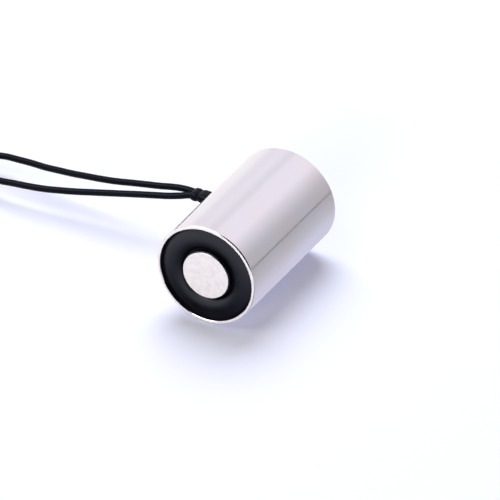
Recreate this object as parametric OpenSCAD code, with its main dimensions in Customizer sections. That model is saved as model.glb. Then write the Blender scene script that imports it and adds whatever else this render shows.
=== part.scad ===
// Holding electromagnet: a nickel-plated steel pot with a central pole, a wound bobbin sealed in by a
// black resin ring, and two leads out of the side.
// It lies on its side. The barrel's axis runs along Y, the pole face looks towards -Y and the leads
// leave towards -X. The origin is under the middle of the barrel, on the surface that it lies on.

/* [Pot] */
// Outer diameter of the barrel
pot_d = 25; // [22:0.5:40]
// Length of the barrel, from the pole face to the back
pot_l = 38.5; // [34:0.5:60]
// Thickness of the barrel's wall
pot_wall = 0.8; // [0.6:0.1:1.2]
// Thickness of the closed back
back_thickness = 3; // [2:0.25:5]
// Rounding of the front outer edge
front_round = 0.4; // [0.1:0.05:0.5]
// Rounding of the back outer edge
back_round = 0.6; // [0.2:0.1:1.5]
// Chamfer on the inside of the rim
rim_chamfer = 0.1; // [0.05:0.05:0.3]

/* [Pole] */
// Diameter of the pole
pole_d = 12; // [10:0.25:13]
// Chamfer round the pole face
pole_chamfer = 0.25; // [0.05:0.05:0.5]
// Diameter of the spigot that is staked into the back
spigot_d = 8; // [6.5:0.25:9]
// Width of the staking groove round the spigot's end
stake_width = 0.5; // [0.3:0.1:0.8]
// Depth of the staking groove
stake_depth = 0.3; // [0.1:0.1:0.6]
// Bore of the tapped hole in the back, before the thread
tap_bore_d = 3.3; // [2.5:0.1:4.2]
// Depth of the tapped hole
tap_depth = 10; // [6:0.5:16]
// Countersink over the edge of the tapped hole
tap_countersink = 0.5; // [0.2:0.1:0.8]

/* [Resin ring] */
// How far the crest of the ring lies behind the pole face
ring_crest = 0.1; // [0.05:0.05:0.8]
// How much higher the crest is than the ring's two edges
ring_rise = 1.4; // [1:0.1:2.2]
// Width of the flat land along each edge of the ring
ring_land = 0.15; // [0.1:0.05:0.4]
// Depth of the resin, from the pole face to the bobbin
ring_depth = 3.5; // [3.2:0.1:6]

/* [Bobbin and winding] */
// Gap between the bobbin and the steel round it
bobbin_gap = 0.1; // [0.05:0.05:0.2]
// Wall of the bobbin's hub
hub_wall = 0.6; // [0.5:0.1:0.9]
// Thickness of the bobbin's flanges
flange_thickness = 0.8; // [0.5:0.1:1.2]
// Length of the splice room at the back of the bobbin
splice_room = 9.3; // [8:0.1:12]
// Width of the slot that the winding's ends pass through
tail_slot = 1.2; // [0.8:0.1:2]
// Thickness of the tape round the winding
tape_thickness = 0.3; // [0.1:0.05:0.4]
// Gap between the tape and the barrel
winding_gap = 1.1; // [0.3:0.1:2]

/* [Leads] */
// Diameter of a lead over its insulation
lead_d = 1.6; // [1.2:0.1:1.8]
// Distance from the back to the lead exit
exit_from_back = 9.6; // [8.5:0.1:11]
// Wall of the sleeve round both leads
sleeve_wall = 0.15; // [0.1:0.05:0.3]
// Length of the sleeve outside the barrel
sleeve_out = 6.7; // [3:0.1:9]
// How much thicker the sleeve's wall is along its two beads
bead_rise = 0.2; // [0.1:0.05:0.3]
// Length of the bead at the sleeve's end
bead_length = 1.5; // [1:0.1:2]
// Width of the waist between the two beads
bead_waist = 0.5; // [0.3:0.1:0.8]
// Length of the sleeve inside the barrel
sleeve_in = 0.8; // [0.7:0.1:1]
// Rubber left round the sleeve in the side hole
grommet_wall = 0.4; // [0.3:0.1:0.8]
// How far the grommet's lips reach past the side hole
grommet_lip = 0.7; // [0.4:0.1:1]
// Thickness of the grommet's lips
grommet_lip_t = 0.5; // [0.3:0.1:0.7]
// Diameter of a splice sleeve
splice_d = 2.2; // [2:0.1:2.6]
// Angle that a splice sleeve wraps round the hub
splice_wrap = 50; // [30:5:80]
// Diameter of a lead's stripped conductor
strand_d = 0.8; // [0.5:0.05:1]
// Length of a stripped end
tip_length = 6; // [4:0.5:10]
// Thickness of the tie round the coiled leads
tie_thickness = 0.3; // [0.2:0.05:0.4]
// Width of the tie
tie_width = 3; // [2:0.5:5]

/* [Hidden] */
$fn = 96;
// Extra length that takes a cut clear through a surface
over = 1;

// Radii of the turned parts
pot_r = pot_d / 2;
bore_r = pot_r - pot_wall;
pole_r = pole_d / 2;
spigot_r = spigot_d / 2;
hub_bore_r = pole_r + bobbin_gap;
hub_r = hub_bore_r + hub_wall;
flange_r = bore_r - bobbin_gap;
tape_r = bore_r - winding_gap;
winding_r = tape_r - tape_thickness;

// Depths behind the pole face
floor_at = pot_l - back_thickness;
bobbin_end = floor_at - bobbin_gap;
splice_end = bobbin_end - flange_thickness;
splice_start = splice_end - splice_room;
winding_start = ring_depth + flange_thickness;
winding_end = splice_start - flange_thickness;
exit_at = pot_l - exit_from_back;

// The resin ring's round crest
ring_middle = (pole_r + bore_r) / 2;
ring_half = (bore_r - pole_r) / 2 - ring_land;
ring_round = (ring_half * ring_half + ring_rise * ring_rise) / (2 * ring_rise);
ring_edge = ring_crest + ring_rise;

// The lead exit, in the part's own frame
exit_y = exit_at - pot_l / 2;
lead_r = lead_d / 2;
sleeve_r = lead_r + sleeve_wall;
grommet_hole_r = lead_r + sleeve_r + grommet_wall;
splice_r = splice_d / 2;
splice_path_r = (hub_r + bore_r) / 2;
splice_from = 17;
splice_gap = 1.5;

// The coil of leads: two layers, one lead in each second turn
coil_at = [-86, -1];
coil_inner_r = 5.6;
coil_outer_r = 11.2;
coil_hole_r = coil_inner_r - lead_r;
coil_rim_r = coil_outer_r + lead_r;
coil_height = 2 * lead_d + tie_thickness;
coil_edge = lead_r;
tie_turn = -60;
tail_end_x = -96;
tail_a_y = coil_at.y + coil_outer_r - lead_d;
tail_b_y = coil_at.y + coil_outer_r;

// The leads' routes outside the barrel, up to where each one meets the coil
route_a = [
    [-16, 10.45, 12.5], [-19.2, 10.45, 12.5], [-22, 10.5, 12.5], [-25, 10.5, 12.1], [-28, 10.4, 11.5],
    [-32, 10.3, 10.8], [-36, 10.2, 10.1], [-40, 10.2, 9.3], [-44, 10.4, 8.6], [-48, 10.8, 7.9],
    [-52, 11.2, 7.2], [-56, 11.7, 6.6], [-60, 12.2, 6], [-64, 12.8, 5.6], [-68, 13.2, 5.2],
    [-72, 13.6, 4.7], [-76, 13.1, 4.1], [-79, 12.2, 3.5], [-81.6, 11.3, 3]
];
route_b = [
    [-16, 8.85, 12.5], [-19.2, 8.85, 12.5], [-22, 8.4, 11.8], [-25, 7.6, 11.3], [-28, 7, 10.9],
    [-32, 6.5, 10.2], [-36, 6.1, 9.4], [-40, 5.7, 8.6], [-44, 5.3, 7.8], [-48, 4.9, 7],
    [-52, 4.6, 6.3], [-56, 4.3, 5.7], [-60, 4.1, 5.3], [-64, 4.1, 4.9], [-68, 4.2, 4.4],
    [-72, 5, 3.8], [-75.4, 6, 3.3]
];

// Sides of a lead's tube
lead_sides = 8;

// The way of one lead inside the barrel: from its splice sleeve, round a bend, to the side hole.
// The side is 1 for a lead that bends up and -1 for one that bends down.
function inner_route(y, side) = let (
    bend_x = -splice_path_r * cos(splice_from),
    bend_z = splice_path_r * sin(splice_from),
    out_x = -pot_r
) [
    [bend_x, y, pot_r + side * bend_z],
    [bend_x + (out_x - bend_x) * 0.06, y, pot_r + side * bend_z * 0.7],
    [bend_x + (out_x - bend_x) * 0.25, y, pot_r + side * bend_z * 0.3],
    [bend_x + (out_x - bend_x) * 0.45, y, pot_r],
    [out_x, y, pot_r]
];

function unit(v) = v / norm(v);

// Direction of a route at point i
function heading(route, i) = unit(route[min(i + 1, len(route) - 1)] - route[max(i - 1, 0)]);

// One ring of a tube's corners round point i of its route
function tube_ring(route, i, r, sides) = let (
    ahead = heading(route, i),
    aside = unit(cross(ahead, [0, 1, 0])),
    above = cross(ahead, aside)
) [for (k = [0:sides - 1]) let (turn = 360 * (k + 0.5) / sides)
    route[i] + r * (aside * cos(turn) + above * sin(turn))];

// A round tube along a route, closed at both ends
module swept_tube(route, r, sides) {
    rings = len(route);
    points = [for (i = [0:rings - 1]) each tube_ring(route, i, r, sides)];
    walls = [for (i = [0:rings - 2], k = [0:sides - 1]) let (
        near = i * sides + k,
        beside = i * sides + (k + 1) % sides
    ) each [[near, near + sides, beside], [beside, near + sides, beside + sides]]];
    first_end = [for (k = [0:sides - 1]) k];
    last_end = [for (k = [sides - 1:-1:0]) (rings - 1) * sides + k];
    polyhedron(points, concat([first_end, last_end], walls), convexity = 8);
}

// Puts a turned part on the barrel's axis, with its z as depth behind the pole face
module on_barrel_axis() {
    translate([0, -pot_l / 2, pot_r]) rotate([-90, 0, 0]) children();
}

// Puts a part on the line of the leads' exit, with its z outwards from the barrel's axis
module on_exit_line() {
    translate([0, exit_y, pot_r]) rotate([0, -90, 0]) children();
}

// A tube on the barrel's axis, between two radii and two depths
module turned_tube(inner, outer, from, to) {
    rotate_extrude() translate([inner, from]) square([outer - inner, to - from]);
}

// What a rounding takes off a corner at the origin, with the material towards -X and +Y
module corner_waste(r) {
    difference() {
        translate([-r, -over]) square([r + over, r + over]);
        translate([-r, r]) circle(r);
    }
}

// Outline of both leads side by side, with a wall of the given radius round each
module lead_pair_outline(r) {
    for (side = [-1, 1]) translate([0, side * lead_r]) circle(r);
    square([2 * r, lead_d], center = true);
}

// Nickel-plated steel cup with rounded edges, a hole for the spigot and a side hole for the grommet
module pot_shell() {
    color("gainsboro") difference() {
        on_barrel_axis() rotate_extrude() difference() {
            translate([spigot_r, 0]) square([pot_r - spigot_r, pot_l]);
            translate([spigot_r - over, -over]) square([bore_r - spigot_r + over, floor_at + over]);
            translate([bore_r, 0]) rotate(45) square(rim_chamfer * sqrt(2), center = true);
            translate([pot_r, 0]) corner_waste(front_round);
            translate([pot_r, pot_l]) mirror([0, 1]) corner_waste(back_round);
        }
        on_exit_line() cylinder(r = grommet_hole_r, h = pot_r + over);
    }
}

// Turned pole with a staked spigot through the back and a tapped blind hole in its end
module pole_core() {
    tap_r = tap_bore_d / 2;
    tip = tap_r * tan(31);
    color("silver") on_barrel_axis() difference() {
        rotate_extrude() difference() {
            union() {
                square([pole_r, floor_at]);
                square([spigot_r, pot_l]);
            }
            translate([pole_r, 0]) rotate(45) square(pole_chamfer * sqrt(2), center = true);
            translate([spigot_r - 2 * stake_width, pot_l - stake_depth]) square([stake_width, stake_depth + over]);
        }
        translate([0, 0, pot_l - tap_depth]) cylinder(r = tap_r, h = tap_depth + over);
        translate([0, 0, pot_l - tap_depth - tip]) cylinder(r1 = 0, r2 = tap_r, h = tip);
        translate([0, 0, pot_l - tap_countersink])
            cylinder(r1 = tap_r, r2 = tap_r + 2 * tap_countersink, h = 2 * tap_countersink);
    }
}

// Black resin between pole and rim, with a round crest behind the pole face
module potting_ring() {
    color("#16161a") on_barrel_axis() rotate_extrude() {
        intersection() {
            translate([ring_middle, ring_crest + ring_round]) circle(ring_round);
            translate([pole_r, 0]) square([bore_r - pole_r, (ring_edge + ring_depth) / 2]);
        }
        translate([pole_r, ring_edge]) square([bore_r - pole_r, ring_depth - ring_edge]);
    }
}

// Moulded former: a hub and three flanges, with a slot for the winding's ends
module bobbin() {
    color("ivory") on_barrel_axis() difference() {
        union() {
            turned_tube(hub_bore_r, hub_r, ring_depth, bobbin_end);
            for (from = [ring_depth, winding_end, splice_end])
                turned_tube(hub_bore_r, flange_r, from, from + flange_thickness);
        }
        translate([hub_r, -tail_slot / 2, winding_end - over])
            cube([pot_r, tail_slot, flange_thickness + 2 * over]);
    }
}

// All the turns of enamelled wire, between the bobbin's flanges
module coil_winding() {
    color("chocolate") on_barrel_axis() turned_tube(hub_r, winding_r, winding_start, winding_end);
}

// Insulating tape round the winding
module coil_tape() {
    color("gold") on_barrel_axis() turned_tube(winding_r, tape_r, winding_start, winding_end);
}

// A grommet's lip that follows the barrel's curve between two radii
module saddle_lip(inner, outer) {
    intersection() {
        on_exit_line() cylinder(r = grommet_hole_r + grommet_lip, h = pot_d);
        on_barrel_axis() turned_tube(inner, outer, 0, pot_l);
    }
}

// Rubber grommet in the side hole, with a lip outside and one inside
module lead_grommet() {
    color("#1c1c1e") difference() {
        union() {
            saddle_lip(pot_r, pot_r + grommet_lip_t);
            saddle_lip(bore_r - grommet_lip_t, bore_r);
            intersection() {
                on_exit_line() cylinder(r = grommet_hole_r, h = pot_d);
                on_barrel_axis() turned_tube(bore_r - grommet_lip_t, pot_r + grommet_lip_t, 0, pot_l);
            }
        }
        on_exit_line() linear_extrude(pot_d) lead_pair_outline(sleeve_r);
    }
}

// A length of sleeve round both leads, between two distances from the barrel's axis
module sleeve_stretch(r, from, to) {
    translate([0, 0, from]) linear_extrude(to - from) difference() {
        lead_pair_outline(r);
        lead_pair_outline(lead_r);
    }
}

// Shrunk sleeve round both leads, through the grommet, with two beads and a waist outside the barrel
module lead_sleeve() {
    sleeve_end = pot_r + sleeve_out;
    bead_start = sleeve_end - bead_length;
    color("#141416") on_exit_line() {
        sleeve_stretch(sleeve_r, bore_r - sleeve_in, sleeve_end);
        sleeve_stretch(sleeve_r + bead_rise, pot_r + grommet_lip_t, bead_start - bead_waist);
        sleeve_stretch(sleeve_r + bead_rise, bead_start, sleeve_end);
    }
}

// Sleeve over a soldered joint, wrapped round the hub upwards (1) or downwards (-1)
module splice_sleeve(y, side) {
    color("#2a2a2c") translate([0, y, pot_r]) rotate([90, 0, 0])
        rotate([0, 0, side > 0 ? 180 - splice_from - splice_gap - splice_wrap : 180 + splice_from + splice_gap])
            rotate_extrude(angle = splice_wrap) translate([splice_path_r, 0]) circle(splice_r);
}

module splice_sleeve_a() {
    splice_sleeve(exit_y + lead_r, 1);
}

module splice_sleeve_b() {
    splice_sleeve(exit_y - lead_r, -1);
}

// A lead from its splice to the coil, and its tail past the coil
module lead(y, side, route, tail_y) {
    color("#121214") {
        swept_tube(concat(inner_route(y, side), route), lead_r, lead_sides);
        tail(tail_y, coil_at.x, tail_end_x, lead_r);
    }
}

// A straight piece of lead or conductor that lies beside the coil
module tail(y, from, to, r) {
    translate([from, y, lead_r]) rotate([0, -90, 0]) cylinder(r = r, h = from - to);
}

module lead_a() {
    lead(exit_y + lead_r, 1, route_a, tail_a_y);
}

module lead_b() {
    lead(exit_y - lead_r, -1, route_b, tail_b_y);
}

// Puts a part on the coil's axis, with x along the tie's radius
module on_tie_radius() {
    translate([coil_at.x, coil_at.y, 0]) rotate([0, 0, tie_turn]) children();
}

// Section of the coil, with corners as round as a lead
module coil_section() {
    width = coil_rim_r - coil_hole_r;
    translate([coil_edge, 0]) square([width - 2 * coil_edge, coil_height]);
    translate([0, coil_edge]) square([width, coil_height - 2 * coil_edge]);
    for (x = [coil_edge, width - coil_edge], y = [coil_edge, coil_height - coil_edge])
        translate([x, y]) circle(coil_edge);
}

// Outer shape of the coiled leads, with a groove under the tie and a notch that the two tails lie in
module lead_coil() {
    color("#121214") difference() {
        translate([coil_at.x, coil_at.y, 0]) rotate_extrude() translate([coil_hole_r, 0]) coil_section();
        on_tie_radius() translate([0, -tie_width / 2, -over])
            cube([coil_rim_r + over, tie_width, over + tie_thickness]);
        translate([coil_at.x - coil_rim_r - over, tail_a_y - lead_r, -over])
            cube([coil_rim_r + over, lead_d + tail_b_y - tail_a_y + over, over + lead_d]);
    }
}

// Tie round the coil's section, with legs that follow the coil's curve
module lead_tie() {
    color("#202022") on_tie_radius() intersection() {
        rotate_extrude() difference() {
            translate([coil_hole_r - tie_thickness, 0])
                square([coil_rim_r - coil_hole_r + 2 * tie_thickness, coil_height + tie_thickness]);
            translate([coil_hole_r, tie_thickness])
                square([coil_rim_r - coil_hole_r, coil_height - tie_thickness]);
        }
        translate([0, -tie_width / 2, -over])
            cube([coil_rim_r + over, tie_width, coil_height + 2 * over]);
    }
}

module lead_tip(y) {
    color("lightgray") tail(y, tail_end_x, tail_end_x - tip_length, strand_d / 2);
}

module lead_tip_a() {
    lead_tip(tail_a_y);
}

module lead_tip_b() {
    lead_tip(tail_b_y);
}

pot_shell();
pole_core();
potting_ring();
bobbin();
coil_winding();
coil_tape();
lead_grommet();
lead_sleeve();
splice_sleeve_a();
splice_sleeve_b();
lead_a();
lead_b();
lead_coil();
lead_tie();
lead_tip_a();
lead_tip_b();
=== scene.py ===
"""Dresses a holding electromagnet: polished barrel, ground pole, black resin ring and tied black leads."""

from math import asin, copysign, cos, degrees, exp, hypot, pi, radians, sin, sqrt

import bmesh
import bpy
from mathutils import Matrix, Vector


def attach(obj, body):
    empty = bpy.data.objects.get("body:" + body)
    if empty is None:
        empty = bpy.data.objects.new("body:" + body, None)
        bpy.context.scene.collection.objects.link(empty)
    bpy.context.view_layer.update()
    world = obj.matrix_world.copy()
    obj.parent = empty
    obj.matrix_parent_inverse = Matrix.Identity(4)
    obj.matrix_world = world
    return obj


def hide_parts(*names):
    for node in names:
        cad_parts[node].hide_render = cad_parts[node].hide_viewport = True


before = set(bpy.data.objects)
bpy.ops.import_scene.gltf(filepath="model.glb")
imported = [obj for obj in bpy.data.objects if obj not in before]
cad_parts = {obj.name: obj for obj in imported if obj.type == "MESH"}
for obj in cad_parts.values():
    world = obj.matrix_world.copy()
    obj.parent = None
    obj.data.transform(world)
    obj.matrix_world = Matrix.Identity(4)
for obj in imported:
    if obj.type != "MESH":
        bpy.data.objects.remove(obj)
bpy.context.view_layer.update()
scene = bpy.context.scene
scene.view_settings.view_transform = "Standard"

# Sizes in millimetres, as in the part's source

MM = 0.001
POT_R = 12.5
POT_L = 38.5
POT_WALL = 0.8
BACK_THICKNESS = 3
FRONT_ROUND = 0.4
BACK_ROUND = 0.6
RIM_CHAMFER = 0.1
BORE_R = POT_R - POT_WALL
FLOOR_AT = POT_L - BACK_THICKNESS

POLE_R = 6
POLE_CHAMFER = 0.25
SPIGOT_R = 4
STAKE_WIDTH = 0.5
STAKE_DEPTH = 0.3
TAP_R = 1.65
TAP_DEPTH = 10
TAP_COUNTERSINK = 0.5

RING_CREST = 0.1
RING_RISE = 1.4
RING_LAND = 0.15
RING_DEPTH = 3.5

LEAD_R = 0.8
EXIT_FROM_BACK = 9.6
SLEEVE_WALL = 0.15
SLEEVE_IN = 0.8
GROMMET_WALL = 0.4
LIP_REACH = 0.7
LIP_T = 0.5
STRAND_R = 0.4
TIP_LENGTH = 6
EXIT_Y = POT_L / 2 - EXIT_FROM_BACK
SLEEVE_R = LEAD_R + SLEEVE_WALL
HOLE_R = LEAD_R + SLEEVE_R + GROMMET_WALL
LIP_R = HOLE_R + LIP_REACH

COIL_AT = Vector((-86, -1, 0))
COIL_INNER_R = 5.6
COIL_OUTER_R = 11.2
# The tie's place round the coil, in degrees
TIE_TURN = -60
TIE_THICKNESS = 0.3
TIE_WIDTH = 3
TAIL_END_X = -96
TAIL_A_Y = COIL_AT.y + COIL_OUTER_R - 2 * LEAD_R
TAIL_B_Y = COIL_AT.y + COIL_OUTER_R

# The barrel's axis, in metres
AXIS_POINT = Vector((0, 0, POT_R * MM))
AXIS = Vector((0, 1, 0))


# Camera, at the photograph's viewing angle

CAMERA_AZIMUTH = radians(28.863)
CAMERA_ELEVATION = radians(32.484)
CAMERA_DISTANCE = 1.5
CAMERA_LENS = 477.84
AIM_RIGHT = 0.663 * MM
AIM_DOWN = 3.33 * MM


def add_camera():
    """Looks at the barrel's middle, moved to where the photograph has it."""
    back = Vector((sin(CAMERA_AZIMUTH) * cos(CAMERA_ELEVATION),
                   -cos(CAMERA_AZIMUTH) * cos(CAMERA_ELEVATION),
                   sin(CAMERA_ELEVATION)))
    right = Vector((cos(CAMERA_AZIMUTH), sin(CAMERA_AZIMUTH), 0))
    up = back.cross(right)
    aim = AXIS_POINT + right * AIM_RIGHT - up * AIM_DOWN
    turn = Matrix((right, up, back)).transposed().to_4x4()
    data = bpy.data.cameras.new("camera")
    data.lens = CAMERA_LENS
    data.sensor_width = 36
    data.clip_end = 20
    camera = bpy.data.objects.new("camera", data)
    camera.matrix_world = Matrix.Translation(aim + back * CAMERA_DISTANCE) @ turn
    scene.collection.objects.link(camera)
    scene.camera = camera


# Materials

# Sockets of a Mix node that mixes two colours
SHARE, FIRST, SECOND, MIXED = 0, 6, 7, 2


def linear(hex_colour):
    """Turns an sRGB hex colour into linear RGBA."""
    channels = [int(hex_colour[i:i + 2], 16) / 255 for i in (1, 3, 5)]
    return tuple(c / 12.92 if c <= 0.04045 else ((c + 0.055) / 1.055) ** 2.4 for c in channels) + (1,)


def add_node(tree, kind, inputs=None, stops=None, **settings):
    """Adds a node, gives it its settings and ramp stops, and links or sets its inputs."""
    node = tree.nodes.new(kind)
    for name, value in settings.items():
        setattr(node, name, value)
    if stops:
        elements = node.color_ramp.elements
        while len(elements) < len(stops):
            elements.new(0.5)
        for element, (place, colour) in zip(elements, stops):
            element.position = place
            element.color = linear(colour)
    for socket, value in (inputs or {}).items():
        if isinstance(value, bpy.types.NodeSocket):
            tree.links.new(value, node.inputs[socket])
        else:
            node.inputs[socket].default_value = value
    return node


def new_material(name):
    """An empty material with its output, ready for a shader."""
    material = bpy.data.materials.new(name)
    material.use_nodes = True
    material.node_tree.nodes.clear()
    return material, material.node_tree, material.node_tree.nodes.new("ShaderNodeOutputMaterial")


def per_mm(size):
    """Texture scale, in metres of Object coordinates, for a pattern of that size in millimetres."""
    return 1 / (size * MM)


def nickel_plate():
    """Nickel plate on drawn steel, polished.

    It gives the eye a slightly blurred mirror, with faint rose clouds and fine lines along the barrel. The
    lines are drawn coarser than real ones, to show.
    """
    material, tree, output = new_material("nickel_plate_polished")
    place = add_node(tree, "ShaderNodeTexCoord").outputs["Object"]
    along = add_node(tree, "ShaderNodeMapping", {
        "Vector": place, "Scale": (per_mm(0.5), per_mm(9), per_mm(0.5))})
    lines = add_node(tree, "ShaderNodeTexNoise", {"Vector": along.outputs[0], "Scale": 1, "Detail": 4})
    clouds = add_node(tree, "ShaderNodeTexNoise", {"Vector": place, "Scale": per_mm(14), "Detail": 2})
    colour = add_node(tree, "ShaderNodeValToRGB", {"Fac": clouds.outputs[0]},
                      stops=[(0.35, "#EFEAF3"), (0.65, "#F1E7EE")])
    rough = add_node(tree, "ShaderNodeMapRange", {
        "Value": clouds.outputs[0], "From Min": 0.3, "From Max": 0.7, "To Min": 0.1, "To Max": 0.15})
    bump = add_node(tree, "ShaderNodeBump", {
        "Height": lines.outputs[0], "Strength": 0.02, "Distance": 0.1 * MM})
    shader = add_node(tree, "ShaderNodeBsdfPrincipled", {
        "Base Color": colour.outputs[0], "Metallic": 1, "Roughness": rough.outputs[0],
        "Normal": bump.outputs[0]})
    tree.links.new(shader.outputs[0], output.inputs[0])
    return material


def ground_steel():
    """Plated steel, ground flat.

    It gives the eye a pale, matte face with a faint mottle. The grit is coarser than a wheel's, to show.
    """
    material, tree, output = new_material("plated_steel_ground")
    place = add_node(tree, "ShaderNodeTexCoord").outputs["Object"]
    mottle = add_node(tree, "ShaderNodeTexNoise", {"Vector": place, "Scale": per_mm(1.2), "Detail": 5})
    grit = add_node(tree, "ShaderNodeTexNoise", {"Vector": place, "Scale": per_mm(0.25), "Detail": 3})
    colour = add_node(tree, "ShaderNodeValToRGB", {"Fac": mottle.outputs[0]},
                      stops=[(0.35, "#EDEAF2"), (0.6, "#F8F6FC")])
    bump = add_node(tree, "ShaderNodeBump", {
        "Height": grit.outputs[0], "Strength": 0.15, "Distance": 0.03 * MM})
    shader = add_node(tree, "ShaderNodeBsdfPrincipled", {
        "Base Color": colour.outputs[0], "Metallic": 0.2, "Roughness": 0.5, "Normal": bump.outputs[0]})
    tree.links.new(shader.outputs[0], output.inputs[0])
    return material


def grained(name, dark, pale, roughness, gloss, patch, grain, depth, metallic=0, tint="#FFFFFF"):
    """A moulded, cast, extruded or tinned surface: two near tones in patches, and a fine grain.

    The sizes of a patch and of a grain, and the grain's depth, are in millimetres. The grain is drawn coarser
    than the real one, to show.
    """
    material, tree, output = new_material(name)
    place = add_node(tree, "ShaderNodeTexCoord").outputs["Object"]
    patches = add_node(tree, "ShaderNodeTexNoise", {"Vector": place, "Scale": per_mm(patch), "Detail": 3})
    colour = add_node(tree, "ShaderNodeValToRGB", {"Fac": patches.outputs[0]},
                      stops=[(0.35, dark), (0.65, pale)])
    rough = add_node(tree, "ShaderNodeMapRange", {
        "Value": patches.outputs[0], "From Min": 0.3, "From Max": 0.7,
        "To Min": roughness - 0.05, "To Max": roughness + 0.05})
    grains = add_node(tree, "ShaderNodeTexNoise", {"Vector": place, "Scale": per_mm(grain), "Detail": 3})
    bump = add_node(tree, "ShaderNodeBump", {
        "Height": grains.outputs[0], "Strength": 0.3, "Distance": depth * MM})
    shader = add_node(tree, "ShaderNodeBsdfPrincipled", {
        "Base Color": colour.outputs[0], "Metallic": metallic, "Roughness": rough.outputs[0],
        "Specular IOR Level": gloss, "Specular Tint": linear(tint), "Normal": bump.outputs[0]})
    tree.links.new(shader.outputs[0], output.inputs[0])
    return material


def wound(name, dark, pale, pitch, metallic, roughness):
    """Wire or film wound round the barrel's axis: bands of one pitch along it, each with a round crest,
    darker towards the gaps between them as painted shade.
    """
    material, tree, output = new_material(name)
    place = add_node(tree, "ShaderNodeTexCoord").outputs["Object"]
    bands = add_node(tree, "ShaderNodeTexWave", {"Vector": place, "Scale": per_mm(pitch) * pi / 10},
                     wave_type="BANDS", bands_direction="Y", wave_profile="SIN")
    # The colour darkens towards the gaps between bands: painted shade
    colour = add_node(tree, "ShaderNodeValToRGB", {"Fac": bands.outputs["Fac"]},
                      stops=[(0, dark), (0.7, pale)])
    bump = add_node(tree, "ShaderNodeBump", {
        "Height": bands.outputs["Fac"], "Strength": 0.8, "Distance": pitch * 0.2 * MM})
    shader = add_node(tree, "ShaderNodeBsdfPrincipled", {
        "Base Color": colour.outputs[0], "Metallic": metallic, "Roughness": roughness,
        "Normal": bump.outputs[0]})
    tree.links.new(shader.outputs[0], output.inputs[0])
    return material


NICKEL = nickel_plate()
STEEL = ground_steel()
# Dipped in tin: soft, silvery strands with a warm cast
TINNED = grained("copper_tinned", "#B9B6B0", "#D8D5CF", roughness=0.3, gloss=0.5,
                 patch=1, grain=0.15, depth=0.01, metallic=1)
# Cast and left to set: a deep black with a broad, slightly blue sheen on its bulge
RESIN = grained("epoxy_cast_black", "#06060A", "#0A0A10", roughness=0.36, gloss=0.56,
                patch=3, grain=0.8, depth=0.015, tint="#EEF0FF")
# Extruded: black with a narrow, cool line of light along the lead
PVC = grained("pvc_extruded_black", "#030408", "#06070C", roughness=0.22, gloss=0.1,
              patch=4, grain=0.5, depth=0.01, tint="#E8ECFF")
# Shrunk with heat: black and a little duller than the leads, with a soft sheen on its beads
SHRUNK = grained("polyolefin_shrunk_black", "#030408", "#06070B", roughness=0.26, gloss=0.1,
                 patch=2, grain=0.3, depth=0.015, tint="#E8ECFF")
# Moulded rubber: charcoal, without a clear highlight
RUBBER = grained("rubber_moulded_black", "#101012", "#18181A", roughness=0.7, gloss=0.3,
                 patch=1.5, grain=0.2, depth=0.03)
# Extruded nylon strip: black with a soft sheen
STRIP = grained("nylon_strip_black", "#0C0C0E", "#121214", roughness=0.45, gloss=0.3,
                patch=2, grain=0.25, depth=0.02)
# Moulded nylon: ivory with a soft sheen
FORMER = grained("nylon_moulded_ivory", "#DAD3BC", "#E6E0CC", roughness=0.45, gloss=0.5,
                 patch=4, grain=0.3, depth=0.02)
# Enamelled wire: warm, glossy copper turns, with painted shade in the gaps between them
COPPER = wound("copper_enamelled", "#6A2E14", "#B4602C", pitch=0.3, metallic=1, roughness=0.3)
# Wrapped film: glossy amber laps, with painted shade between them
FILM = wound("polyester_film_wrapped", "#B88A1E", "#D8AC34", pitch=6, metallic=0, roughness=0.25)


# Pieces

SHARP_EDGE = radians(32)
MERGE_WITHIN = 0.0005 * MM
# How squarely a face looks out of the pole face, and how near it lies to it in millimetres, to be ground
GROUND_FACING = 0.85
GROUND_DEPTH = 0.15
# Edge broken round the spigot where it is staked
STAKED_EDGE = 0.1
# The thread's depth in the back, and the radius of its roots
THREAD_DEPTH = 9
THREAD_ROOT_R = 2


def put_on_part(piece, nodes):
    """Puts a finished piece on the part, in place of the nodes."""
    scene.collection.objects.link(piece)
    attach(piece, "root")
    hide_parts(*nodes)
    return piece


def make_piece(bm, name, material, slot, *nodes):
    """Closes the mesh, shades it with sharp edges kept, and puts it on the part in place of the nodes."""
    bmesh.ops.remove_doubles(bm, verts=bm.verts, dist=MERGE_WITHIN)
    bmesh.ops.recalc_face_normals(bm, faces=bm.faces)
    mesh = bpy.data.meshes.new(name)
    bm.to_mesh(mesh)
    bm.free()
    mesh.shade_smooth()
    mesh.set_sharp_from_angle(angle=SHARP_EDGE)
    mesh.materials.append(material)
    return put_on_part(bpy.data.objects.new(name, mesh), nodes)


def smooth_step(value, low, high):
    """Goes from 0 at low to 1 at high, with a soft start and end."""
    share = min(max((value - low) / (high - low), 0), 1)
    return share * share * (3 - 2 * share)


def arc(centre, r, start, end, steps):
    """Points on a circle's arc, in radius and depth, with the angles in degrees."""
    turns = [radians(start + (end - start) * i / steps) for i in range(steps + 1)]
    return [(centre[0] + r * cos(t), centre[1] + r * sin(t)) for t in turns]


def profile_line(bm, profile, closed):
    """Vertices and edges of a profile of radii and depths behind the pole face, beside the barrel's axis."""
    line = [bm.verts.new((r * MM, (depth - POT_L / 2) * MM, POT_R * MM)) for r, depth in profile]
    edges = [bm.edges.new(pair) for pair in zip(line, line[1:])]
    if closed:
        edges.append(bm.edges.new((line[-1], line[0])))
    return line + edges


def turned(profile, closed, steps=192):
    """A piece turned on the barrel's axis from a profile of radii and depths behind the pole face."""
    bm = bmesh.new()
    bmesh.ops.spin(bm, geom=profile_line(bm, profile, closed), cent=AXIS_POINT, axis=AXIS, angle=2 * pi,
                   steps=steps, use_merge=True)
    return bm


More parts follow.
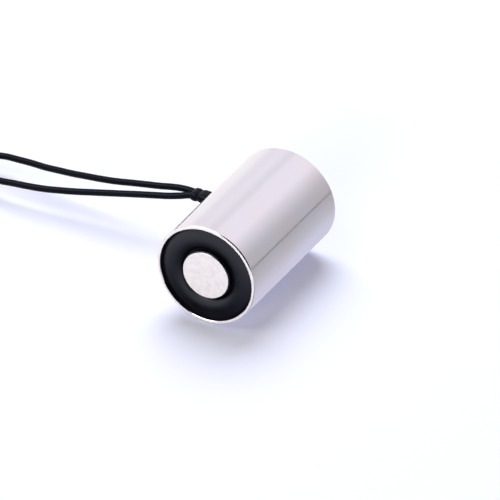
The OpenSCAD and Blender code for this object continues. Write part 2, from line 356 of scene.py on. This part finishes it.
def cut_side_hole(bm):
    """Opens the barrel's wall where the leads leave, and joins the hole's outer edge to its inner one."""
    margin = 0.1

    def offset(point):
        height = point.z / MM - POT_R
        reach = hypot(point.x / MM, height)
        return POT_R * height / reach, point.y / MM - EXIT_Y, reach

    def in_hole(face):
        centre = face.calc_center_median()
        up, along, reach = offset(centre)
        return centre.x < 0 and reach > BORE_R - margin and hypot(up, along) < HOLE_R - margin

    bmesh.ops.delete(bm, geom=[face for face in bm.faces if in_hole(face)], context="FACES")
    rim = [edge for edge in bm.edges if edge.is_boundary]
    for vertex in {v for edge in rim for v in edge.verts}:
        up, along, reach = offset(vertex.co)
        scale = HOLE_R / hypot(up, along)
        out = sqrt(reach ** 2 - (up * scale) ** 2)
        vertex.co = Vector((-out, EXIT_Y + along * scale, POT_R + up * scale)) * MM
    bmesh.ops.bridge_loops(bm, edges=rim)


def grind_front(piece):
    """Gives the front, and the first part of a rounded edge, ground steel as a second material."""
    piece.data.materials.append(STEEL)
    for face in piece.data.polygons:
        near = face.center.y < (GROUND_DEPTH - POT_L / 2) * MM
        if near and face.normal.y < -GROUND_FACING:
            face.material_index = 1


def add_barrel():
    """Drawn cup with rounded edges and rows of faces round the side hole."""
    edge = 0.05
    row_step = 0.4
    rows_each_side = 7
    round_steps = 8
    exit_at = EXIT_Y + POT_L / 2
    rows = [exit_at + row_step * i for i in range(-rows_each_side, rows_each_side + 1)]
    profile = [(BORE_R + RIM_CHAMFER, 0), (BORE_R + RIM_CHAMFER + edge, 0)]
    profile += arc((POT_R - FRONT_ROUND, FRONT_ROUND), FRONT_ROUND, -90, 0, round_steps)
    profile += [(POT_R, FRONT_ROUND + edge)]
    profile += [(POT_R, row) for row in rows]
    profile += [(POT_R, POT_L - BACK_ROUND - edge)]
    profile += arc((POT_R - BACK_ROUND, POT_L - BACK_ROUND), BACK_ROUND, 0, 90, round_steps)
    profile += [(POT_R - BACK_ROUND - edge, POT_L)]
    profile += [(SPIGOT_R + STAKED_EDGE + edge, POT_L), (SPIGOT_R + STAKED_EDGE, POT_L)]
    profile += [(SPIGOT_R, POT_L - STAKED_EDGE), (SPIGOT_R, FLOOR_AT), (BORE_R, FLOOR_AT)]
    profile += [(BORE_R, row) for row in reversed(rows)]
    profile += [(BORE_R, RIM_CHAMFER)]
    bm = turned(profile, closed=True)
    cut_side_hole(bm)
    grind_front(make_piece(bm, "barrel", NICKEL, "nickel_plate", "pot_shell"))


def add_pole():
    """Turned pole with a staked spigot and a hole that leaves room for the thread."""
    edge = 0.05
    stake_slope = 0.08
    stake_outer = SPIGOT_R - STAKE_WIDTH
    stake_inner = SPIGOT_R - 2 * STAKE_WIDTH
    mouth_r = TAP_R + TAP_COUNTERSINK
    clear = 0.02
    threaded_r = THREAD_ROOT_R + clear
    threaded_to = POT_L - THREAD_DEPTH
    thread_end = 0.2
    drilled_to = POT_L - TAP_DEPTH
    drill_tip = 0.99
    profile = [(0, 0), (POLE_R - POLE_CHAMFER - edge, 0), (POLE_R - POLE_CHAMFER, 0), (POLE_R, POLE_CHAMFER)]
    profile += [(POLE_R, FLOOR_AT), (SPIGOT_R, FLOOR_AT)]
    profile += [(SPIGOT_R, POT_L - STAKED_EDGE), (SPIGOT_R - STAKED_EDGE, POT_L)]
    profile += [(stake_outer, POT_L), (stake_outer - stake_slope, POT_L - STAKE_DEPTH)]
    profile += [(stake_inner + stake_slope, POT_L - STAKE_DEPTH), (stake_inner, POT_L)]
    profile += [(mouth_r, POT_L), (threaded_r, POT_L - (mouth_r - threaded_r)), (threaded_r, threaded_to)]
    profile += [(TAP_R, threaded_to - thread_end), (TAP_R, drilled_to), (0, drilled_to - drill_tip)]
    bm = turned(profile, closed=False)
    grind_front(make_piece(bm, "pole", NICKEL, "ground_steel", "pole_core"))


def add_ring():
    """Resin ring that is fuller towards the rim, with a thin film of black resin laid over the pole's chamfer
    and the bore wall as painted shade.
    """
    middle = (POLE_R + BORE_R) / 2
    half = (BORE_R - POLE_R) / 2 - RING_LAND
    outer_rise = 0.75
    # Thickness of the black film that darkens the pole's chamfer and the bore wall as painted shade
    film = 0.03
    short_of_land = 0.05
    crest_steps = 16
    pole_edge = POLE_R - POLE_CHAMFER

    def bulge(rise, start, end):
        crest_r = (half ** 2 + rise ** 2) / (2 * rise)
        lean = degrees(asin(half / crest_r)) - short_of_land
        return arc((middle, RING_CREST + crest_r), crest_r, -90 + lean * start, -90 + lean * end, crest_steps)

    profile = [(POLE_R, POLE_CHAMFER), (pole_edge + film, film), (pole_edge + 2 * film, film)]
    profile += [(POLE_R + film, POLE_CHAMFER), (POLE_R + film, RING_CREST + RING_RISE)]
    profile += bulge(RING_RISE, -1, 0) + bulge(outer_rise, 0, 1)[1:]
    profile += [(BORE_R - film, RING_CREST + outer_rise), (BORE_R - film, RIM_CHAMFER + film)]
    profile += [(BORE_R, RIM_CHAMFER), (BORE_R, RING_DEPTH), (POLE_R, RING_DEPTH)]
    bm = turned(profile, closed=True)
    make_piece(bm, "resin_ring", RESIN, "potting_resin", "potting_ring")


def add_thread():
    """The metric thread cut into the back: one pitch of its profile, screwed down the hole."""
    pitch = 0.7
    turns = 12
    steps = 40
    run_out = 0.25
    start = POT_L - THREAD_DEPTH - run_out
    crest_end = 0.175
    root_start = 0.394
    root_end = 0.481
    profile = [(TAP_R, start), (TAP_R, start + crest_end), (THREAD_ROOT_R, start + root_start)]
    profile += [(THREAD_ROOT_R, start + root_end), (TAP_R, start + pitch)]
    bm = bmesh.new()
    bmesh.ops.spin(bm, geom=profile_line(bm, profile, closed=False), cent=AXIS_POINT, axis=AXIS,
                   angle=2 * pi * turns, steps=steps * turns, dvec=AXIS * (pitch / steps * MM))
    make_piece(bm, "tapped_thread", STEEL, "ground_steel")


def spun_on_exit(profile, steps=64):
    """A closed profile of heights and radii, spun round a line that runs along X through the origin."""
    bm = bmesh.new()
    half = pi / steps
    line = [bm.verts.new((height, r * cos(half), r * sin(half))) for height, r in profile]
    edges = [bm.edges.new((line[i - 1], line[i])) for i in range(len(line))]
    bmesh.ops.spin(bm, geom=line + edges, cent=(0, 0, 0), axis=(1, 0, 0), angle=2 * pi, steps=steps,
                   use_merge=True)
    return bm


def add_grommet():
    """Rubber grommet: round in the hole, oval round the two leads, with lips that follow the barrel."""
    inside = BORE_R - POT_R
    clear = 0.02
    oval_r = SLEEVE_R + clear
    soft = 0.15
    mouth_drop = 0.1
    shoulder_r = LIP_R - 0.08
    foot_r = LIP_R - 0.05
    inner_lip_r = LIP_R - 0.2
    profile = [(LIP_T - mouth_drop, oval_r), (LIP_T, oval_r + soft), (LIP_T, LIP_R - 2 * soft)]
    profile += [(LIP_T - soft, shoulder_r), (soft, LIP_R), (0, foot_r), (0, HOLE_R)]
    profile += [(inside, HOLE_R), (inside, LIP_R), (inside - LIP_T, inner_lip_r), (inside - LIP_T, oval_r)]
    bm = spun_on_exit(profile)
    for vertex in bm.verts:
        height, y, z = vertex.co
        y += copysign(LEAD_R, y) * (1 - smooth_step(hypot(y, z), oval_r, HOLE_R))
        vertex.co = Vector((-sqrt((POT_R + height) ** 2 - z ** 2), EXIT_Y + y, POT_R + z)) * MM
    return make_piece(bm, "grommet", RUBBER, "grommet_rubber", "lead_grommet")


# The sleeve's outside, from the grommet to its end: distance from the barrel's axis, and height of the beads
SLEEVE_START = BORE_R - SLEEVE_IN
SLEEVE_BEADS = [
    (SLEEVE_START, 0), (13, 0), (13.2, 0.12), (13.5, 0.2), (16.7, 0.2), (17, 0.16), (17.2, 0.08), (17.4, 0),
    (17.5, 0), (17.7, 0.08), (17.9, 0.16), (18.2, 0.2), (18.8, 0.18), (19.05, 0.11), (19.2, 0),
]


def add_sleeve():
    """Sleeve shrunk over both leads: it sinks in between them and has two soft beads with a waist between."""
    clear = 0.01
    inner_r = LEAD_R + clear
    mouth = [(-19.18, inner_r + 0.03), (-18.9, inner_r)]
    sink = 0.14
    sink_width = 0.5
    profile = [(-x, SLEEVE_R + rise) for x, rise in SLEEVE_BEADS] + mouth + [(-SLEEVE_START, inner_r)]
    bm = spun_on_exit(profile)
    for vertex in bm.verts:
        x, y, z = vertex.co
        y += copysign(LEAD_R, y)
        z *= 1 - sink * exp(-(y / sink_width) ** 2)
        vertex.co = Vector((x, EXIT_Y + y, POT_R + z)) * MM
    return make_piece(bm, "sleeve", SHRUNK, "shrink_sleeve", "lead_sleeve")


def add_tie():
    """Strip wrapped once round the coil: a block with rounded edges, opened at both sides to a thin wall."""
    inner = COIL_INNER_R - LEAD_R - TIE_THICKNESS
    outer = COIL_OUTER_R + LEAD_R + TIE_THICKNESS
    height = 4 * LEAD_R + 2 * TIE_THICKNESS
    side_facing = 0.9
    place = Matrix.Translation(COIL_AT * MM) @ Matrix.Rotation(radians(TIE_TURN), 4, "Z")
    place = place @ Matrix.Translation(Vector(((inner + outer) / 2, 0, height / 2)) * MM)
    bm = bmesh.new()
    bmesh.ops.create_cube(bm, size=1)
    bmesh.ops.scale(bm, vec=Vector((outer - inner, TIE_WIDTH, height)) * MM, verts=bm.verts)
    long_edges = [e for e in bm.edges if abs(e.verts[0].co.y - e.verts[1].co.y) > TIE_WIDTH / 2 * MM]
    bmesh.ops.bevel(bm, geom=long_edges, offset=(LEAD_R + TIE_THICKNESS) * MM, affect="EDGES", segments=6,
                    profile=0.5, material=-1)
    sides = [face for face in bm.faces if abs(face.normal.y) > side_facing]
    bmesh.ops.delete(bm, geom=sides, context="FACES_ONLY")
    bmesh.ops.recalc_face_normals(bm, faces=bm.faces)
    bmesh.ops.solidify(bm, geom=bm.faces, thickness=TIE_THICKNESS * MM)
    bmesh.ops.transform(bm, matrix=place, verts=bm.verts)
    return make_piece(bm, "tie", STRIP, "tie_plastic", "lead_tie")


def add_strands(name, y, node):
    """Stripped end of a lead: six strands twisted round one in the middle, so three lie across it."""
    strand_r = STRAND_R / 3
    round_it = 6
    twist = 1.5 * pi
    steps = 24
    centre = Vector((TAIL_END_X, y, LEAD_R)) * MM
    flat = Matrix.Rotation(radians(90), 4, "Y")
    bm = bmesh.new()
    for k in range(round_it + 1):
        turn = k * 2 * pi / round_it
        away = Vector((0, cos(turn), sin(turn))) * (2 * strand_r * MM if k < round_it else 0)
        made = bmesh.ops.create_circle(bm, segments=10, radius=strand_r * MM,
                                       matrix=Matrix.Translation(centre + away) @ flat)
        ring = made["verts"] + list({e for v in made["verts"] for e in v.link_edges})
        bmesh.ops.spin(bm, geom=ring, cent=centre, axis=(1, 0, 0), angle=twist, steps=steps,
                       dvec=(-TIP_LENGTH / steps * MM, 0, 0))
    bmesh.ops.holes_fill(bm, edges=[e for e in bm.edges if e.is_boundary])
    return make_piece(bm, name, TINNED, "tinned_copper", node)


# The leads: the routes of the part's source with more points at their ends, then the turns and the tails

ROUTE_A = [
    (-10.7, 10.45, 12.5), (-13, 10.45, 12.5), (-16, 10.45, 12.5), (-19.2, 10.45, 12.5), (-22, 10.5, 12.5),
    (-25, 10.5, 12.1), (-28, 10.4, 11.5), (-32, 10.3, 10.8), (-36, 10.2, 10.1), (-40, 10.2, 9.3),
    (-44, 10.4, 8.6), (-48, 10.8, 7.9), (-52, 11.2, 7.2), (-56, 11.7, 6.6), (-60, 12.2, 6), (-64, 12.8, 5.6),
    (-68, 13.2, 5.2), (-72, 13.6, 4.7), (-76, 13.1, 4.1), (-79, 12.2, 3.5), (-81.6, 11.3, 3),
    (-84, 10.5, 2.6),
]
ROUTE_B = [
    (-10.7, 8.85, 12.5), (-13, 8.85, 12.5), (-16, 8.85, 12.5), (-19.2, 8.85, 12.5), (-22, 8.4, 11.8),
    (-25, 7.6, 11.3), (-28, 7, 10.9), (-32, 6.5, 10.2), (-36, 6.1, 9.4), (-40, 5.7, 8.6), (-44, 5.3, 7.8),
    (-48, 4.9, 7), (-52, 4.6, 6.3), (-56, 4.3, 5.7), (-60, 4.1, 5.3), (-64, 4.1, 4.9), (-68, 4.2, 4.4),
    (-72, 5, 3.8), (-75.4, 6, 3.3), (-80, 7.6, 2.8), (-83, 8.3, 2.5),
]
# The tails' points along X, up to the stripped ends
TAIL_XS = (-88, -90, -93, TAIL_END_X)
# Two leads lie side by side in a turn, so a turn takes up two of their diameters
COIL_PITCH = 4 * LEAD_R
COIL_TURNS = 3
POINTS_A_TURN = 24
# Angle at which the leads meet the coil, and share of a turn before and after the step to the lower layer
COIL_START = 90
LAYER_STEP = 0.1
# Angles from the tie within which a turn lies on its strap, and past which it lies on the floor
STRAP_NEAR = radians(18)
STRAP_FAR = radians(55)


def coil_points(start_r):
    """Turns of one lead: inwards on the upper layer, then outwards on the lower one, over the tie's strap."""
    turns_in = (start_r - COIL_INNER_R) / COIL_PITCH
    points = []
    for i in range(COIL_TURNS * POINTS_A_TURN + 1):
        turns = i / POINTS_A_TURN
        turn = radians(COIL_START + 360 * turns)
        r = COIL_INNER_R + COIL_PITCH * abs(turns - turns_in)
        z = LEAD_R * (3 - 2 * smooth_step(turns, turns_in - LAYER_STEP, turns_in + LAYER_STEP))
        from_tie = abs((turn - radians(TIE_TURN) + pi) % (2 * pi) - pi)
        z += TIE_THICKNESS * (1 - smooth_step(from_tie, STRAP_NEAR, STRAP_FAR))
        points.append(COIL_AT + Vector((r * cos(turn), r * sin(turn), z)))
    return points


def add_lead(name, route, start_r, *nodes):
    """One lead as a round cord along its route, its turns in the coil and its tail."""
    coil = coil_points(start_r)
    tail_y = coil[-1].y
    points = [Vector(p) for p in route] + coil
    points += [Vector((x, tail_y, LEAD_R)) for x in TAIL_XS]
    curve = bpy.data.curves.new(name, "CURVE")
    curve.dimensions = "3D"
    curve.bevel_depth = LEAD_R * MM
    curve.bevel_resolution = 5
    curve.resolution_u = 4
    curve.use_fill_caps = True
    spline = curve.splines.new("BEZIER")
    spline.bezier_points.add(len(points) - 1)
    for knot, point in zip(spline.bezier_points, points):
        knot.co = point * MM
        knot.handle_left_type = "AUTO"
        knot.handle_right_type = "AUTO"
    curve.materials.append(PVC)
    return put_on_part(bpy.data.objects.new(name, curve), nodes)


# The set: white paper, a white tent, an edge and a card that only gloss reflects, and three soft lamps

FLOOR_HALF = 1.5
# Paper with a blue whitener gives back more blue than it gets, so half shadows on it look blue
WHITENED = (0.92, 0.96, 1.17, 1)
# Middle and reach of the painted shadow that gloss sees on the paper under the pole face
FOOT = Vector((-6, -19, 0)) * MM
PAINTED_SHADOW_REACH = 100 * MM
PAINTED_SHADOW_STOPS = [(0.01, "#2E2E36"), (0.08, "#525260"), (0.14, "#7E7E90"), (0.29, "#C0C0D4"),
               (0.41, "#DEDEEE"), (0.8, "#FFFFFF")]
# Across the pole face's plane the painted shadow ends
PAINTED_SHADOW_FROM = -19.5 * MM
PAINTED_SHADOW_TO = -18.5 * MM
# To the right of the barrel gloss sees painted shade on the paper, from in front of the part to beside it
PAINTED_SHADE_REACH = 60 * MM
PAINTED_SHADE_STOPS = [(0, "#FFFFFF"), (0.04, "#CBCCE2"), (0.25, "#D6D9E9"), (0.5, "#C4C7CC"), (1, "#BABCBE")]
PAINTED_SHADE_FROM = -45 * MM
PAINTED_SHADE_TO = -20 * MM
# The table's edge and the card, in metres
EDGE_SIZE = (0.002, 0.7, 0.0045)
EDGE_AT = (0.134, 0.2, 0.00225)
CARD_SIZE = (0.9, 0.5, 1)
CARD_AT = Vector((-0.38, -0.36, 0.72))
CARD_GLOW = 5
# The tent's tones from left to right, and the direction and edge angles of its dark opening
TENT_STOPS = [(0.165, "#FFFFFF"), (0.19, "#F1F2F5"), (0.28, "#F5F6FA"), (0.37, "#EAEBEE"),
              (0.44, "#F8F7FB"), (0.65, "#F8F7FB"), (0.76, "#DADADE"), (0.83, "#BDBEC0")]
OPENING = (0.72, -0.31, 0.62)
OPENING_OUTER = radians(50)
OPENING_INNER = radians(43)
TENT_LIGHT = 0.44
# Each lamp's name, place and width in metres, power in watts and colour
LAMPS = (
    ("key", (-0.27, 0.4, 0.7), 0.78, 6.6, "#F8FAFF"),
    ("top", (-0.2, -0.4, 0.72), 0.4, 0.8, "#FFFAF5"),
    ("front", (0.14, -0.88, 0.1), 0.6, 9.1, "#FFFAF8"),
)


def floor_paper():
    """White paper, smooth and matte: the eye sees bluish soft shadows on it.

    Gloss sees painted tones in place of its shadows: a painted shadow under the pole face, and painted shade
    at the right.
    """
    material, tree, output = new_material("paper_white")
    path = add_node(tree, "ShaderNodeLightPath")
    place = add_node(tree, "ShaderNodeNewGeometry").outputs["Position"]
    side = add_node(tree, "ShaderNodeSeparateXYZ", {"Vector": place})
    # Painted shade that gloss sees on the paper to the right of the barrel
    reach = add_node(tree, "ShaderNodeMapRange", {
        "Value": side.outputs["X"], "From Min": 0, "From Max": PAINTED_SHADE_REACH})
    painted_shade = add_node(tree, "ShaderNodeValToRGB", {"Fac": reach.outputs[0]}, stops=PAINTED_SHADE_STOPS)
    beside = add_node(tree, "ShaderNodeMapRange", {
        "Value": side.outputs["Y"], "From Min": PAINTED_SHADE_FROM, "From Max": PAINTED_SHADE_TO})
    right = add_node(tree, "ShaderNodeMix", {
        SHARE: beside.outputs[0], FIRST: linear("#FFFFFF"), SECOND: painted_shade.outputs[0]}, data_type="RGBA")
    # Painted shadow that gloss sees on the paper under the pole face
    from_foot = add_node(tree, "ShaderNodeVectorMath", {0: place, 1: FOOT}, operation="DISTANCE")
    away = add_node(tree, "ShaderNodeMapRange", {
        "Value": from_foot.outputs["Value"], "From Max": PAINTED_SHADOW_REACH})
    painted_shadow = add_node(tree, "ShaderNodeValToRGB", {"Fac": away.outputs[0]}, stops=PAINTED_SHADOW_STOPS)
    behind = add_node(tree, "ShaderNodeMapRange", {
        "Value": side.outputs["Y"], "From Min": PAINTED_SHADOW_FROM, "From Max": PAINTED_SHADOW_TO})
    front = add_node(tree, "ShaderNodeMix", {
        SHARE: behind.outputs[0], FIRST: painted_shadow.outputs[0], SECOND: linear("#FFFFFF")}, data_type="RGBA")
    both = add_node(tree, "ShaderNodeMix", {
        SHARE: 1, FIRST: right.outputs[MIXED], SECOND: front.outputs[MIXED]},
        data_type="RGBA", blend_type="MULTIPLY")
    mirrored = add_node(tree, "ShaderNodeEmission", {"Color": both.outputs[MIXED], "Strength": 1})
    tone = add_node(tree, "ShaderNodeMix", {
        SHARE: path.outputs["Is Camera Ray"], FIRST: linear("#8A8A8C"), SECOND: WHITENED}, data_type="RGBA")
    paper = add_node(tree, "ShaderNodeBsdfDiffuse", {"Color": tone.outputs[MIXED]})
    seen = add_node(tree, "ShaderNodeMixShader", {
        0: path.outputs["Is Glossy Ray"], 1: paper.outputs[0], 2: mirrored.outputs[0]})
    tree.links.new(seen.outputs[0], output.inputs[0])
    return material


def edge_paint():
    """Grey paint, matte: the eye sees it only as a thin line in polished metal."""
    material, tree, output = new_material("paint_grey_matte")
    paint = add_node(tree, "ShaderNodeBsdfDiffuse", {"Color": linear("#85848A")})
    tree.links.new(paint.outputs[0], output.inputs[0])
    return material


def glowing_highlight_card():
    """A white card that glows, seen only in gloss: it paints the highlight on leads and resin."""
    material, tree, output = new_material("card_glowing_highlight")
    # The card's own glow, which paints the highlight; no lamp lights it
    glow = add_node(tree, "ShaderNodeEmission", {"Color": linear("#EEF0FF"), "Strength": CARD_GLOW})
    tree.links.new(glow.outputs[0], output.inputs[0])
    return material


def add_set_piece(bm, name, material, only_mirrored):
    """Puts a mesh in the set, as a thing that everything sees or that only gloss reflects."""
    mesh = bpy.data.meshes.new(name)
    bm.to_mesh(mesh)
    bm.free()
    mesh.materials.append(material)
    piece = bpy.data.objects.new(name, mesh)
    piece.visible_camera = not only_mirrored
    piece.visible_diffuse = not only_mirrored
    piece.visible_shadow = not only_mirrored
    scene.collection.objects.link(piece)


def add_floor():
    """The paper that the part lies on."""
    bm = bmesh.new()
    bmesh.ops.create_grid(bm, x_segments=1, y_segments=1, size=FLOOR_HALF)
    add_set_piece(bm, "floor", floor_paper(), only_mirrored=False)


def add_table_edge():
    """A thin bar to the right of the part, where the table ends."""
    bm = bmesh.new()
    bmesh.ops.create_cube(bm, size=1)
    bmesh.ops.scale(bm, vec=EDGE_SIZE, verts=bm.verts)
    bmesh.ops.translate(bm, vec=EDGE_AT, verts=bm.verts)
    add_set_piece(bm, "table_edge", edge_paint(), only_mirrored=True)


def add_card():
    """A card above the front left, turned towards the barrel's middle."""
    bm = bmesh.new()
    bmesh.ops.create_grid(bm, x_segments=1, y_segments=1, size=0.5)
    bmesh.ops.scale(bm, vec=CARD_SIZE, verts=bm.verts)
    turn = (AXIS_POINT - CARD_AT).to_track_quat("Z", "Y").to_matrix().to_4x4()
    bmesh.ops.transform(bm, matrix=Matrix.Translation(CARD_AT) @ turn, verts=bm.verts)
    add_set_piece(bm, "card", glowing_highlight_card(), only_mirrored=True)


def add_world():
    """A tent: gloss reflects its walls, dim at the right with a dark opening, and the camera sees white."""
    world = bpy.data.worlds.new("tent")
    world.use_nodes = True
    tree = world.node_tree
    tree.nodes.clear()
    path = add_node(tree, "ShaderNodeLightPath")
    way = add_node(tree, "ShaderNodeTexCoord").outputs["Generated"]
    side = add_node(tree, "ShaderNodeSeparateXYZ", {"Vector": way})
    across = add_node(tree, "ShaderNodeMapRange", {"Value": side.outputs["X"], "From Min": -1, "From Max": 1})
    tent = add_node(tree, "ShaderNodeValToRGB", {"Fac": across.outputs[0]}, stops=TENT_STOPS)
    facing = add_node(tree, "ShaderNodeVectorMath", {0: way, 1: OPENING}, operation="DOT_PRODUCT")
    opening = add_node(tree, "ShaderNodeMapRange", {
        "Value": facing.outputs["Value"], "From Min": cos(OPENING_OUTER), "From Max": cos(OPENING_INNER)})
    walls = add_node(tree, "ShaderNodeMix", {
        SHARE: opening.outputs[0], FIRST: tent.outputs[0], SECOND: linear("#0C0C0E")}, data_type="RGBA")
    mirrored = add_node(tree, "ShaderNodeBackground", {"Color": walls.outputs[MIXED], "Strength": 1})
    light = add_node(tree, "ShaderNodeBackground", {"Color": linear("#D8D2C2"), "Strength": TENT_LIGHT})
    white = add_node(tree, "ShaderNodeBackground", {"Color": linear("#FFFFFF"), "Strength": 1})
    shown = add_node(tree, "ShaderNodeMixShader", {
        0: path.outputs["Is Glossy Ray"], 1: light.outputs[0], 2: mirrored.outputs[0]})
    seen = add_node(tree, "ShaderNodeMixShader", {
        0: path.outputs["Is Camera Ray"], 1: shown.outputs[0], 2: white.outputs[0]})
    output = add_node(tree, "ShaderNodeOutputWorld")
    tree.links.new(seen.outputs[0], output.inputs[0])
    scene.world = world


def add_lamp(name, place, size, watts, colour):
    """A round soft lamp that looks at the barrel's middle and isn't reflected itself."""
    data = bpy.data.lights.new(name, "AREA")
    data.shape = "DISK"
    data.size = size
    data.energy = watts
    data.color = linear(colour)[:3]
    lamp = bpy.data.objects.new(name, data)
    lamp.location = place
    lamp.rotation_euler = (AXIS_POINT - Vector(place)).to_track_quat("-Z", "Y").to_euler()
    lamp.visible_glossy = False
    scene.collection.objects.link(lamp)


# The part: the leads with what is on them, the magnet, and the pieces inside it

add_camera()
lead_a = add_lead("lead_a_cord", ROUTE_A, COIL_OUTER_R, "lead_a", "lead_coil")
lead_b = add_lead("lead_b_cord", ROUTE_B, COIL_OUTER_R - 2 * LEAD_R, "lead_b")
ends_a = [add_strands("strands_a", TAIL_A_Y, "lead_tip_a"), add_tie(), add_sleeve(), add_grommet()]
ends_b = [add_strands("strands_b", TAIL_B_Y, "lead_tip_b")]
add_barrel()
add_pole()
add_ring()
add_thread()
INNER_PIECES = (("bobbin", FORMER), ("coil_winding", COPPER), ("coil_tape", FILM),
                ("splice_sleeve_a", SHRUNK), ("splice_sleeve_b", SHRUNK))
for node, material in INNER_PIECES:
    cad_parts[node].data.materials.clear()
    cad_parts[node].data.materials.append(material)

add_floor()
add_table_edge()
add_card()
add_world()
for lamp_facts in LAMPS:
    add_lamp(*lamp_facts)
